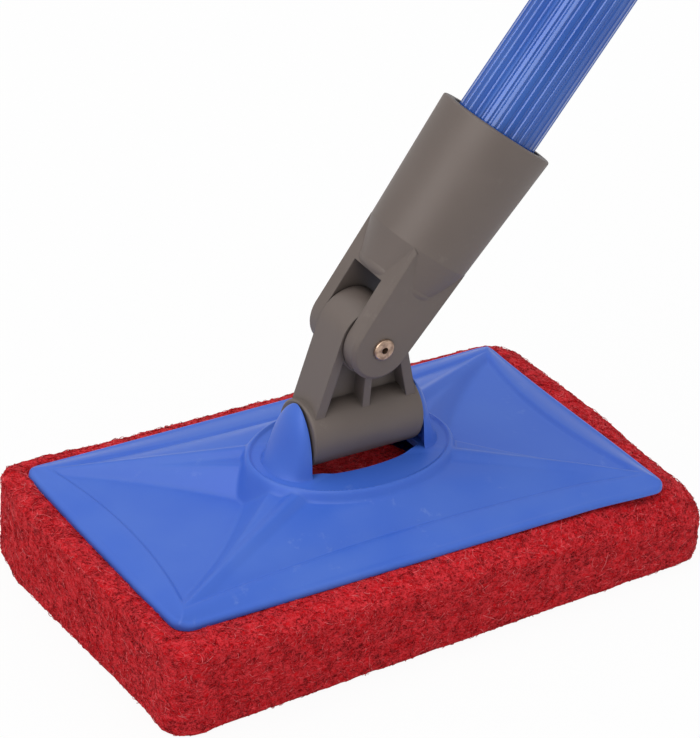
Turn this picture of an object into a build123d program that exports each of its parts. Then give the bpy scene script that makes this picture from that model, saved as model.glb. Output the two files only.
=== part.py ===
"""Pool wall brush: a scrubbing pad on a moulded plate, swivelling in two directions on a fluted pole.

Millimetres, +Z up. The origin is the middle of the pad's scrubbing face, X runs along the pad.
Two turning pairs join the head to the pole. The yoke's barrel rocks about X between the plate's cheeks,
and the pole's fork swings about the pivot rivet through the top of the yoke.
"""

import os

from build123d import *

# ---- pose: how the head hangs when the part is at rest ----
yoke_tilt = 1.3  # yoke's lean about the barrel, towards -Y, degrees
handle_lean = 35.8  # pole's lean about the pivot rivet, towards +X, degrees

# ---- clearances ----
running_gap = 0.05  # radial play of a turning pair
seat_gap = 0.05  # play between pieces that are pushed or glued together
side_gap = 0.4  # play on each side of the yoke's boss
end_gap = 0.65  # play between the barrel's ends and the cheeks
sink = 0.4  # how far a raised form's foot is sunk into what carries it
cut_over = 1.0  # how far a cut runs past the face that it opens

# ---- scrubbing pad ----
pad_length = 184.5
pad_width = 105.4
pad_thickness = 24.5
pad_corner = 9.5
pad_edge_round = 0.9
pad_sag = 15.0  # radius of the top edges at the +X end, which sags beyond the plate
sag_flare = 10.0  # how far the sag has left the long edges by the -X end
pad_shift = (3.9, 0.3)  # pressed on off the middle, towards +X and +Y
pad_skew = 2.1  # and a little askew, degrees

# ---- hook strips that grip the pad ----
strip_width = 25.0
strip_length = 78.0
strip_thickness = 1.2
strip_recess = 0.8  # how far a strip sinks into the plate's underside
strip_corner = 3.0
strip_spacing = 124.0  # middle of one strip to the middle of the other

# ---- base plate ----
plate_length = 159.6
plate_width = 87.6
plate_corner = 5.0
plate_edge = 1.8
plate_edge_round = 0.9
brow_foot = (77.5, 41.5)  # corner where the border starts to rise
brow_foot_waist = (77.0, 41.0)
brow_corner = (75.4, 38.6)  # corner of the border's highest line
brow_waist = (70.0, 33.4)  # how near that line comes to the middle, along X and along Y
brow_rise = 1.8
field_corner = (74.2, 37.4)  # corner of the sloping field inside the border
field_waist = (68.8, 32.6)
field_drop = 0.4  # field's foot below the border's highest line
field_top_corner = (24.0, 15.5)  # corner and waist of the field's top, inside the collar
field_top_waist = (33.0, 24.0)
field_rise = 6.2
pocket_floor = ((73.2, 35.0), 68.3, (35.2, 1.6))  # end pockets: outer corner, waist and inner corner
pocket_mouth = ((74.2, 46.6), 69.1, (32.4, 11.6))  # the same, where the leaning walls end above the field
pocket_level = 1.0  # pockets' floor above the border
pocket_height = 8.0
arm_tip = (73.4, 37.0)  # where an arm runs out, near the plate's corner
arm_root = (22.0, 11.5)  # where its middle ends, inside the collar
arm_tip_width = (3.2, 1.0)  # at its foot and along its top
arm_root_width = (12.0, 4.6)
arm_tip_rise = 2.1
arm_root_rise = 9.6
collar_foot = (36.0, 26.5)
collar_head = (31.4, 22.6)
collar_rise = 10.1  # collar's rim above the border
dish_depth = 0.8  # collar's top is sunk inside its rim
rim_width = 1.3
cavity_foot = (33.0, 24.0)
cavity_head = (27.5, 18.5)
cavity_height = 9.0
window_half = (25.5, 11.1)  # half axes of the oval window, cut off by the cheeks

# ---- cheeks that carry the barrel ----
cheek_span = 37.2  # between the two inner faces
cheek_depth = 8.0
cheek_half_width = 9.6
cheek_tip = (1.2, 3.6)  # half axes where the cheek's cone would end, level with its top
cheek_foot = 0.6  # how much wider the cone's foot is than the flat face
cheek_spring = 36.5  # level where a cheek's back starts to slope in
socket_depth = 2.7

# ---- swivel yoke ----
barrel_height = 45.4  # barrel's axis above the scrubbing face
barrel_radius = 9.75
barrel_edge = 0.5
trunnion_radius = 3.4
trunnion_length = 2.4
pivot_height = 29.2  # rivet's axis above the barrel's
boss_radius = 10.3
frame_foot = 34.5  # width of the frame where it leaves the barrel
frame_wall = 3.0  # thickness of the yoke's sloping sides
web_thickness = 2.6
rib_thickness = 2.4

# ---- fork and socket on the pole's end ----
fork_width = 23.6
ear_thickness = 5.2
ear_radius = 9.7
ear_flare = 1.4  # how much wider an ear is on each side at the shoulder than at the rivet
ear_bevel = 1.0
fork_depth = 15.7  # rivet's axis to the floor of the fork's slot
shoulder_height = 28.5
shoulder_radius = 15.4
heel_height = 18.6  # where the body's rounded lower end runs into its flank
heel_radius = 12.3
heel_middle = (11.65, 16.6)  # radius and height of a point midway round the heel's curve
mouth_height = 67.0
mouth_radius = 17.3
mouth_round = 0.7
thread_floor = 20.0  # bottom of the threaded bore
pole_floor = 34.0  # ledge that the pole's end stands on
bush_floor = 49.0

# ---- pivot rivet ----
rivet_radius = 2.4
rivet_head_radius = 4.4
rivet_head_height = 1.3
rivet_head_round = 0.9
clinch_radius = 3.2
clinch_height = 0.9
clinch_round = 0.6
rivet_hole_radius = 1.0
rivet_hole_depth = 7.0

# ---- pole, its tip and the bush around it ----
pole_radius = 12.25
pole_wall = 1.2
pole_length = 1150.0
flute_count = 32
flute_depth = 0.35
flute_cutter = 0.95
bush_wall = 1.55
bush_recess = 0.5
bush_chamfer = 0.4
tip_plug_length = 24.0
tip_collar = 1.5
tip_plug_chamfer = 1.0
tip_thread_radius = 9.8
tip_thread_chamfer = 1.2
tip_thread_play = 1.0  # between the stub's end and the bottom of the bore

# ---- hand grip and end cap ----
grip_length = 130.0
grip_radius = 16.0
grip_edge = 2.5
groove_count = 4
groove_pitch = 7.0
groove_depth = 0.8
groove_tool = 1.2  # radius of the grooves' round section
cap_radius = 14.5
cap_height = 7.0
cap_edge_round = 2.8
cap_plug_length = 20.0
eye_width = 20.0
eye_thickness = 7.0
eye_length = 20.0  # cap's top to the middle of the hanging hole
hang_hole_radius = 4.0

# ---- levels and sizes that follow ----
plate_bottom = pad_thickness + strip_thickness - strip_recess
border_top = plate_bottom + plate_edge
collar_top = border_top + collar_rise
dish_top = collar_top - dish_depth
cheek_x = cheek_span / 2
barrel_length = cheek_span - 2 * end_gap
slot_width = fork_width - 2 * ear_thickness
boss_length = slot_width - 2 * side_gap
pole_end = pole_floor + tip_collar + seat_gap
pole_top = pole_end + pole_length
bush_radius = pole_radius + seat_gap + bush_wall
grip_start = pole_top - grip_length

yoke_frame = Pos(0, 0, barrel_height) * Rot(yoke_tilt, 0, 0)
handle_frame = yoke_frame * Pos(0, 0, pivot_height) * Rot(0, handle_lean, 0)


def rod_x(radius, length, x=0.0):
    """A cylinder along X, centred on the axis at x."""
    return Pos(x, 0, 0) * Rot(0, 90, 0) * Cylinder(radius, length)


def rod_y(radius, length, y=0.0):
    """A cylinder along Y, centred on the axis at y."""
    return Pos(0, y, 0) * Rot(90, 0, 0) * Cylinder(radius, length)


def rod_z(radius, low, high):
    """A cylinder along Z from one level to another."""
    return Pos(0, 0, low) * Cylinder(radius, high - low, align=(Align.CENTER, Align.CENTER, Align.MIN))


def oval_mound(foot, head, low, high):
    """A straight-sided mound from one oval up to a smaller one."""
    return loft([Pos(0, 0, low) * Ellipse(*foot), Pos(0, 0, high) * Ellipse(*head)])


def abrasive_pad():
    """The thick fibre pad, flat on its scrubbing face, with a top that sags round the +X end."""
    pad = extrude(RectangleRounded(pad_length, pad_width, pad_corner), pad_thickness)
    pad = fillet(pad.faces().filter_by(Axis.Z).edges(), pad_edge_round)
    end_x, side_y = pad_length / 2, pad_width / 2
    far_x = -pad_length
    far_y = side_y + sag_flare * (end_x - far_x) / pad_length
    envelope = Polygon((end_x, -side_y), (end_x, side_y), (far_x, far_y), (far_x, -far_y), align=None)
    envelope = fillet(envelope.vertices().sort_by(Axis.X)[-2:], pad_sag + 1)
    sagging = extrude(envelope, pad_thickness)
    top_edges = sagging.faces().sort_by(Axis.Z)[-1].edges().sort_by(Axis.X)[1:]
    pad &= fillet(top_edges, pad_sag)
    return Pos(*pad_shift, 0) * Rot(0, 0, pad_skew) * pad


def hook_strip(side):
    """One strip of hook fastener, glued under the plate at the side given as -1 or +1."""
    outline = RectangleRounded(strip_width, strip_length, strip_corner)
    return Pos(side * strip_spacing / 2, 0, pad_thickness) * extrude(outline, strip_thickness)


def bowed(corner, waist, level):
    """A four-sided outline whose sides curve in between its corners, as a level face."""
    (x, y), (waist_x, waist_y) = corner, waist
    sides = Curve() + [
        ThreePointArc((-x, -y), (0, -waist_y), (x, -y)),
        ThreePointArc((x, -y), (waist_x, 0), (x, y)),
        ThreePointArc((x, y), (0, waist_y), (-x, y)),
        ThreePointArc((-x, y), (-waist_x, 0), (-x, -y)),
    ]
    return Pos(0, 0, level) * make_face(sides)


def pocket_outline(corner, waist_x, inner, level):
    """The outline of an end pocket at one level: a triangle that points at the collar."""
    (corner_x, corner_y), (inner_x, inner_y) = corner, inner
    sides = Curve() + [
        ThreePointArc((corner_x, -corner_y), (waist_x, 0), (corner_x, corner_y)),
        Line((corner_x, corner_y), (inner_x, inner_y)),
        Line((inner_x, inner_y), (inner_x, -inner_y)),
        Line((inner_x, -inner_y), (corner_x, -corner_y)),
    ]
    return Pos(0, 0, level) * make_face(sides)


def end_pocket(side):
    """The cut for the sunk floor at the plate's end given as -1 or +1, with leaning walls."""
    low = border_top + pocket_level
    floor = pocket_outline(*pocket_floor, low)
    mouth = pocket_outline(*pocket_mouth, low + pocket_height)
    pocket = loft([floor, mouth], ruled=True)
    return Rot(0, 0, 90 - side * 90) * pocket


def arm(side_x, side_y):
    """One of the four raised arms: a ridge that widens and rises from a corner into the collar."""
    tip = Vector(side_x * arm_tip[0], side_y * arm_tip[1], 0)
    root = Vector(side_x * arm_root[0], side_y * arm_root[1], 0)
    along = (root - tip).normalized()
    across = Vector(0, 0, 1).cross(along)
    ends = []
    sections = ((tip, arm_tip_width, arm_tip_rise), (root, arm_root_width, arm_root_rise))
    for place, (foot, top), rise in sections:
        low, high = border_top - sink, border_top + rise
        outline = Polygon((-foot / 2, low), (foot / 2, low), (top / 2, high), (-top / 2, high), align=None)
        ends.append(Plane(origin=place, x_dir=across, z_dir=along) * outline)
    return loft(ends, ruled=True)


def cheek(side):
    """One cheek beside the barrel: half a blunt cone, cut to a round-topped flat face on the inside."""
    cheek_top = barrel_height + cheek_half_width
    foot = (cheek_depth, cheek_half_width + cheek_foot)
    root = dish_top - 2 * sink
    back = Pos(0, 0, root) * extrude(Ellipse(*foot), cheek_spring - root)
    back += oval_mound(foot, cheek_tip, cheek_spring, cheek_top)
    upright = Pos(0, 0, barrel_height) * rod_x(cheek_half_width, 4 * cheek_depth)
    upright += Pos(0, 0, barrel_height) * Box(
        4 * cheek_depth,
        2 * cheek_half_width,
        barrel_height - root,
        align=(Align.CENTER, Align.CENTER, Align.MAX),
    )
    reach = 2 * cheek_depth
    outer_half = Box(reach, 4 * cheek_half_width, 4 * cheek_half_width)
    outer_half = Pos(side * reach / 2, 0, barrel_height) * outer_half
    return Pos(side * cheek_x, 0, 0) * (back & upright & outer_half)


def base_plate():
    """The moulded plate: border, sloping field, four arms, collar, window and two cheeks in one piece."""
    outline = RectangleRounded(plate_length, plate_width, plate_corner)
    slab = Pos(0, 0, plate_bottom) * extrude(outline, plate_edge)
    slab = fillet(slab.faces().sort_by(Axis.Z)[-1].edges(), plate_edge_round)
    brow_top = border_top + brow_rise
    brow_low = bowed(brow_foot, brow_foot_waist, border_top - sink)
    brow = loft([brow_low, bowed(brow_corner, brow_waist, brow_top)], ruled=True)
    field_low = brow_top - field_drop
    field = loft(
        [
            bowed(field_corner, field_waist, field_low),
            bowed(field_top_corner, field_top_waist, field_low + field_rise),
        ],
        ruled=True,
    )
    plate = slab + brow + field
    plate -= end_pocket(-1) + end_pocket(1)
    for side_x in (-1, 1):
        plate += arm(side_x, -1) + arm(side_x, 1)
    plate += oval_mound(collar_foot, collar_head, border_top - sink, collar_top)
    dish = [half - rim_width for half in collar_head]
    plate -= Pos(0, 0, dish_top) * extrude(Ellipse(*dish), dish_depth + cut_over)
    plate += cheek(-1) + cheek(1)
    plate -= oval_mound(cavity_foot, cavity_head, plate_bottom, plate_bottom + cavity_height)
    window = Ellipse(*window_half) & Rectangle(cheek_span, 4 * window_half[1])
    plate -= Pos(0, 0, plate_bottom) * extrude(window, barrel_height - plate_bottom)
    for side in (-1, 1):
        recess = RectangleRounded(strip_width + 2 * seat_gap, strip_length + 2 * seat_gap, strip_corner)
        plate -= Pos(side * strip_spacing / 2, 0, plate_bottom) * extrude(recess, strip_recess)
        bearing = rod_x(trunnion_radius + running_gap, 2 * socket_depth, side * cheek_x)
        plate -= Pos(0, 0, barrel_height) * bearing
    return plate


def yoke_outline():
    """The yoke's side view: straight sides that run from the barrel's ends to the round boss."""
    foot = Pos(0, barrel_radius / 4) * Rectangle(frame_foot, barrel_radius / 2)
    head = Pos(0, pivot_height) * Circle(boss_radius)
    return make_hull(foot.edges() + head.edges())


def swivel_yoke():
    """The grey link between plate and pole: barrel with trunnions, hollowed frame and cross boss."""
    outline = yoke_outline()
    frame = Rot(90, 0, 0) * extrude(outline, boss_length / 2, both=True)
    hollow = offset(outline, -frame_wall) - Pos(0, pivot_height) * Circle(boss_radius)
    hollow -= Rectangle(rib_thickness, 4 * pivot_height)
    for side in (-1, 1):
        pocket = Rot(90, 0, 0) * extrude(hollow, boss_length)
        middle = side * (web_thickness / 2 + boss_length / 2) + boss_length / 2
        frame -= Pos(0, middle, 0) * pocket
    boss = Pos(0, 0, pivot_height) * rod_y(boss_radius, boss_length)
    barrel = rod_x(barrel_radius, barrel_length)
    barrel = chamfer(barrel.edges().filter_by(GeomType.CIRCLE), barrel_edge)
    trunnions = rod_x(trunnion_radius, barrel_length + 2 * trunnion_length)
    yoke = frame + boss + barrel + trunnions
    yoke -= Pos(0, 0, pivot_height) * rod_y(rivet_radius + running_gap, 2 * boss_length)
    return yoke_frame * yoke


def handle_socket():
    """The grey socket that holds the pole: tapered body, and a fork of two flat ears for the rivet."""
    floor = Line((0, fork_depth), (ear_radius, fork_depth))
    heel = ThreePointArc(
        (ear_radius, fork_depth),
        heel_middle,
        (heel_radius, heel_height),
    )
    flank = Line((heel_radius, heel_height), (shoulder_radius, shoulder_height))
    taper = Polyline((shoulder_radius, shoulder_height), (mouth_radius, mouth_height), (0, mouth_height))
    close = Line((0, mouth_height), (0, fork_depth))
    profile = make_face(Curve() + [floor, heel, flank, taper, close])
    body = revolve(Rot(90, 0, 0) * profile, Axis.Z)
    body = fillet(body.faces().sort_by(Axis.Z)[-1].edges(), mouth_round)
    low, high = ear_radius, ear_radius + ear_flare
    flared = Polygon((-low, 0), (low, 0), (high, shoulder_height), (-high, shoulder_height), align=None)
    ear = Circle(ear_radius) + flared
    ears = Rot(90, 0, 0) * extrude(ear, fork_width / 2, both=True)
    outer_faces = ears.faces().filter_by(Axis.Y)
    ears = chamfer(outer_faces.edges(), ear_bevel)
    slot = Pos(0, 0, fork_depth) * Box(
        4 * ear_radius,
        slot_width,
        4 * ear_radius,
        align=(Align.CENTER, Align.CENTER, Align.MAX),
    )
    socket = body + ears - slot
    socket -= rod_y(rivet_radius + seat_gap, 2 * fork_width)
    socket -= rod_z(tip_thread_radius + seat_gap, thread_floor, mouth_height)
    socket -= rod_z(pole_radius + seat_gap, pole_floor, mouth_height)
    socket -= rod_z(bush_radius + seat_gap, bush_floor, mouth_height)
    return handle_frame * socket


def pivot_rivet():
    """The semi-tubular rivet: a domed head at the back, and its rolled-over hollow end at the front."""
    half = fork_width / 2
    shank = rod_y(rivet_radius, fork_width)
    head = rod_y(rivet_head_radius, rivet_head_height, half + rivet_head_height / 2)
    head = fillet(head.faces().sort_by(Axis.Y)[-1].edges(), rivet_head_round)
    clinch = rod_y(clinch_radius, clinch_height, -half - clinch_height / 2)
    clinch = fillet(clinch.faces().sort_by(Axis.Y)[0].edges(), clinch_round)
    drilled = rod_y(rivet_hole_radius, 2 * rivet_hole_depth, -half - clinch_height)
    return handle_frame * (shank + head + clinch - drilled)


def thread_tip():
    """The moulded tip crimped into the pole's end: a plug, a collar and the stub that screws home."""
    stub = rod_z(tip_thread_radius, thread_floor + tip_thread_play, pole_floor + seat_gap)
    stub = chamfer(stub.faces().sort_by(Axis.Z)[0].edges(), tip_thread_chamfer)
    collar = rod_z(pole_radius - flute_depth, pole_floor + seat_gap, pole_floor + tip_collar)
    plug = rod_z(pole_radius - pole_wall - seat_gap, pole_floor + tip_collar, pole_end + tip_plug_length)
    plug = chamfer(plug.faces().sort_by(Axis.Z)[-1].edges(), tip_plug_chamfer)
    return handle_frame * (stub + collar + plug)


def mouth_bush():
    """The bush that fills the mouth of the socket around the pole."""
    bush = rod_z(bush_radius, bush_floor + seat_gap, mouth_height - bush_recess)
    bush = chamfer(bush.faces().sort_by(Axis.Z)[-1].edges(), bush_chamfer)
    return handle_frame * (bush - rod_z(pole_radius + seat_gap, bush_floor, mouth_height))


def pole_tube():
    """The aluminium tube, with shallow flutes all round and all along."""
    section = Circle(pole_radius)
    cutter_place = pole_radius + flute_cutter - flute_depth
    section -= PolarLocations(cutter_place, flute_count) * Circle(flute_cutter)
    section -= Circle(pole_radius - pole_wall)
    return handle_frame * Pos(0, 0, pole_end) * extrude(section, pole_length)


def hand_grip():
    """The soft sleeve pushed over the pole's top, grooved near both ends."""
    grip = rod_z(grip_radius, grip_start, pole_top)
    grip = fillet(grip.edges().filter_by(GeomType.CIRCLE), grip_edge)
    for index in range(groove_count):
        offset_in = 2 * grip_edge + index * groove_pitch
        for level in (grip_start + offset_in, pole_top - offset_in):
            grip -= Pos(0, 0, level) * Torus(grip_radius + groove_tool - groove_depth, groove_tool)
    return handle_frame * (grip - rod_z(pole_radius + seat_gap, grip_start - cut_over, pole_top + cut_over))


def hang_cap():
    """The cap that closes the pole's top, with a flat eye to hang it by."""
    plug = rod_z(pole_radius - pole_wall - seat_gap, pole_top - cap_plug_length, pole_top + seat_gap)
    dome = rod_z(cap_radius, pole_top + seat_gap, pole_top + cap_height)
    dome = fillet(dome.faces().sort_by(Axis.Z)[-1].edges(), cap_edge_round)
    tongue = Circle(eye_width / 2) + Pos(0, -eye_length / 2) * Rectangle(eye_width, eye_length)
    tongue -= Circle(hang_hole_radius)
    eye = Rot(90, 0, 0) * extrude(tongue, eye_thickness / 2, both=True)
    return handle_frame * (plug + dome + Pos(0, 0, pole_top + cap_height + eye_length) * eye)


def main():
    """Build every piece and write one STEP file for each."""
    pieces = {
        "abrasive_pad": abrasive_pad(),
        "hook_strip_left": hook_strip(-1),
        "hook_strip_right": hook_strip(1),
        "base_plate": base_plate(),
        "swivel_yoke": swivel_yoke(),
        "pivot_rivet": pivot_rivet(),
        "handle_socket": handle_socket(),
        "mouth_bush": mouth_bush(),
        "thread_tip": thread_tip(),
        "pole_tube": pole_tube(),
        "hand_grip": hand_grip(),
        "hang_cap": hang_cap(),
    }
    os.makedirs("parts", exist_ok=True)
    for name, piece in pieces.items():
        export_step(piece, f"parts/{name}.step")
        print(name, round(piece.volume, 1))


main()
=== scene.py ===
"""Looks of a pool wall brush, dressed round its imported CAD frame.

Lengths are metres and Z is up. The origin is the middle of the pad's scrubbing face, X runs along
the pad and the pole leans towards +X.
"""

from __future__ import annotations

import logging
import math
import random
from dataclasses import dataclass, field
from enum import Enum

import bmesh
import bpy
import numpy as np
from mathutils import Euler, Matrix, Vector, noise
from mathutils.bvhtree import BVHTree


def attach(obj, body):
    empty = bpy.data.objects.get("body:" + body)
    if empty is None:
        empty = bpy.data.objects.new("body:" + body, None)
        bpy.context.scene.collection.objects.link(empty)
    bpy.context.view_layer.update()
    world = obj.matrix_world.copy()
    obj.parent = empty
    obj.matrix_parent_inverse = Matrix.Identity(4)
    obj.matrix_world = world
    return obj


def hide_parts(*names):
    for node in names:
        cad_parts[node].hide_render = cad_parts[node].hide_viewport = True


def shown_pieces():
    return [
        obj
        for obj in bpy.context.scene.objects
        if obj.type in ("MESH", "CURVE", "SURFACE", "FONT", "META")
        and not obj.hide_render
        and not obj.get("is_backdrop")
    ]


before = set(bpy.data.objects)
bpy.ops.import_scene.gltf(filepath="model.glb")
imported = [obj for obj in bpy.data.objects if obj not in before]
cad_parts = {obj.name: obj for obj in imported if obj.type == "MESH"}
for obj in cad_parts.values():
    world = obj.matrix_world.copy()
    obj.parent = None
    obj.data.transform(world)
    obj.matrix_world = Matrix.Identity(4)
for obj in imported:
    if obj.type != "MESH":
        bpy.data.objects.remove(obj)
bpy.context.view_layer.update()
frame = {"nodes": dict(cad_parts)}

MM = 0.001
LOG = logging.getLogger("pool_wall_brush")
Pair = tuple[float, float]
Triple = Colour = tuple[float, float, float]
Array = np.ndarray
BMesh = bmesh.types.BMesh
Look = bpy.types.Material
Mesh = bpy.types.Mesh
Object = bpy.types.Object
Socket = bpy.types.NodeSocket


def srgb(red: int, green: int, blue: int) -> Colour:
    """Turn a screen colour, 0 to 255, into the linear one that shaders take."""
    parts = [value / 255 for value in (red, green, blue)]
    return tuple(p / 12.92 if p <= 0.04045 else ((p + 0.055) / 1.055) ** 2.4 for p in parts)


# ---------------- shader trees


class Tree:
    """A shader node tree with short ways to add and link nodes."""

    def __init__(self, tree: bpy.types.NodeTree) -> None:
        """Wrap a material's, a world's or a group's tree."""
        self.tree = tree

    def feed(self, value: object, target: Socket) -> None:
        """Link an output to an input, or give the input a plain value.

        Args:
            value: output, number or colour.
            target: the input.
        """
        if isinstance(value, Socket):
            self.tree.links.new(value, target)
        elif isinstance(value, tuple) and target.type == "RGBA":
            target.default_value = (*value[:3], 1.0)
        else:
            target.default_value = value

    def add(self, kind: str, inputs: dict | None = None, **settings: object) -> bpy.types.Node:
        """Add one node.

        Args:
            kind: its type, without the leading ShaderNode.
            inputs: values or sockets for its inputs, by name or number.
            **settings: its attributes.

        Returns:
            The new node.
        """
        node = self.tree.nodes.new(kind if kind.startswith("NodeGroup") else f"ShaderNode{kind}")
        for name, value in settings.items():
            setattr(node, name, value)
        for key, value in (inputs or {}).items():
            self.feed(value, node.inputs[key])
        return node

    def math(self, operation: str, first: object, second: object = 0.5, clamp: bool = False) -> Socket:
        """Work on two values or sockets with a Math node; clamp keeps the result between 0 and 1."""
        return self.add("Math", {0: first, 1: second}, operation=operation, use_clamp=clamp).outputs[0]

    def vector(self, operation: str, first: Socket, second: Triple) -> bpy.types.Node:
        """Add a Vector Math node that works on a socket and a plain vector."""
        return self.add("VectorMath", {0: first, 1: second}, operation=operation)

    def blend(self, factor: object, first: object, second: object, mode: str = "MIX") -> Socket:
        """Mix two colours.

        Args:
            factor: value or socket, 0 for the first colour.
            first, second: the colours or sockets.
            mode: how they mix.

        Returns:
            The mixed colour.
        """
        node = self.add("Mix", data_type="RGBA", blend_type=mode)
        for index, value in ((0, factor), (6, first), (7, second)):
            self.feed(value, node.inputs[index])
        return node.outputs[2]

    def stretch(self, value: Socket, low: float, high: float, given: Pair = (0.0, 1.0)) -> Socket:
        """Map a given range evenly to low and high, held beyond."""
        return self.add("MapRange", {0: value, 1: given[0], 2: given[1], 3: low, 4: high}).outputs[0]

    def ramp(self, mask: Socket, low: float, high: float) -> Socket:
        """Ease a mask so that low becomes 0 and high becomes 1."""
        return self.add("MapRange", {0: mask, 1: low, 2: high}, interpolation_type="SMOOTHSTEP").outputs[0]

    def noise(self, place: Socket, scale: object, detail: float = 2.0, roughness: float = 0.5) -> Socket:
        """Add a noise texture: scale is its grains per metre, detail its octaves."""
        values = {"Vector": place, "Scale": scale, "Detail": detail, "Roughness": roughness}
        return self.add("TexNoise", values).outputs[0]


def cleared_tree(owner: Look | bpy.types.World) -> Tree:
    """Give a material or a world an empty shader tree."""
    owner.use_nodes = True
    owner.node_tree.nodes.clear()
    return Tree(owner.node_tree)


class GroupName(Enum):
    """The shader groups that materials share."""

    MOTTLE = "mottle"
    GRAIN = "grain"
    STREAKS = "streaks"
    WEAR = "wear"


class ShaderGroups:
    """Builds each shared shader group once."""

    kinds = {type(None): "NodeSocketVector", tuple: "NodeSocketColor", float: "NodeSocketFloat"}
    squeeze = (1.0, 1.0, 0.012)  # draws grains out into lines along local Z
    wear_patch = 55.0  # patches of wear per metre

    def __init__(self) -> None:
        """Start with no groups."""
        self.made: dict[GroupName, bpy.types.NodeTree] = {}

    def get(self, name: GroupName) -> bpy.types.NodeTree:
        """Return a group, building it at its first use.

        Args:
            name: which group.

        Returns:
            The group's tree.
        """
        if name not in self.made:
            builders = dict(zip(GroupName, (self._mottle, self._grain, self._streaks, self._wear)))
            self.made[name] = builders[name](name.value)
        return self.made[name]

    def _shell(self, name: str, takes: dict, gives: dict) -> tuple[Tree, dict, dict]:
        """Start a group with its sockets.

        Args:
            name: the group's name.
            takes: first value of each input.
            gives: a value of each output's type.

        Returns:
            The tree, what it takes and what it gives.
        """
        group = bpy.data.node_groups.new(name, "ShaderNodeTree")
        for label, value in {"Vector": None, **takes}.items():
            socket = group.interface.new_socket(label, in_out="INPUT", socket_type=self.kinds[type(value)])
            if value is not None:
                socket.default_value = value
        for label, value in gives.items():
            group.interface.new_socket(label, in_out="OUTPUT", socket_type=self.kinds[type(value)])
        tree = Tree(group)
        return tree, tree.add("NodeGroupInput").outputs, tree.add("NodeGroupOutput").inputs

    def _mottle(self, name: str) -> bpy.types.NodeTree:
        """Build the soft cloudy change of tone that moulded plastic has."""
        base, cloud = (0.5, 0.5, 0.5, 1.0), (0.6, 0.6, 0.6, 1.0)
        takes = {"Base": base, "Cloud": cloud, "Scale": 40.0, "Amount": 0.3}
        tree, into, out = self._shell(name, takes, {"Colour": base, "Mask": 0.0})
        mask = tree.ramp(tree.noise(into["Vector"], into["Scale"], detail=3.0), 0.35, 0.7)
        share = tree.math("MULTIPLY", mask, into["Amount"], clamp=True)
        tree.feed(tree.blend(share, into["Base"], into["Cloud"]), out["Colour"])
        tree.feed(mask, out["Mask"])
        return tree.tree

    def _grain(self, name: str) -> bpy.types.NodeTree:
        """Build the fine grain of a mould's spark-worn surface."""
        tree, into, out = self._shell(name, {"Scale": 1800.0}, {"Height": 0.0})
        tree.feed(tree.noise(into["Vector"], into["Scale"], roughness=0.6), out["Height"])
        return tree.tree

    def _streaks(self, name: str) -> bpy.types.NodeTree:
        """Build fine lines that run along local Z, as drawn metal has."""
        tree, into, out = self._shell(name, {"Scale": 900.0}, {"Mask": 0.0})
        squeezed = tree.vector("MULTIPLY", into["Vector"], self.squeeze).outputs[0]
        lines = tree.noise(squeezed, into["Scale"], detail=3.0, roughness=0.6)
        tree.feed(tree.ramp(lines, 0.35, 0.68), out["Mask"])
        return tree.tree

    def _wear(self, name: str) -> bpy.types.NodeTree:
        """Build sparse small scuffs and dust specks."""
        tree, into, out = self._shell(name, {"Scale": 240.0}, {"Mask": 0.0})
        patch = tree.ramp(tree.noise(into["Vector"], self.wear_patch), 0.5, 0.72)
        specks = tree.ramp(tree.noise(into["Vector"], into["Scale"], detail=5.0, roughness=0.7), 0.56, 0.7)
        tree.feed(tree.math("MULTIPLY", patch, specks, clamp=True), out["Mask"])
        return tree.tree


GROUPS = ShaderGroups()


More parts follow.
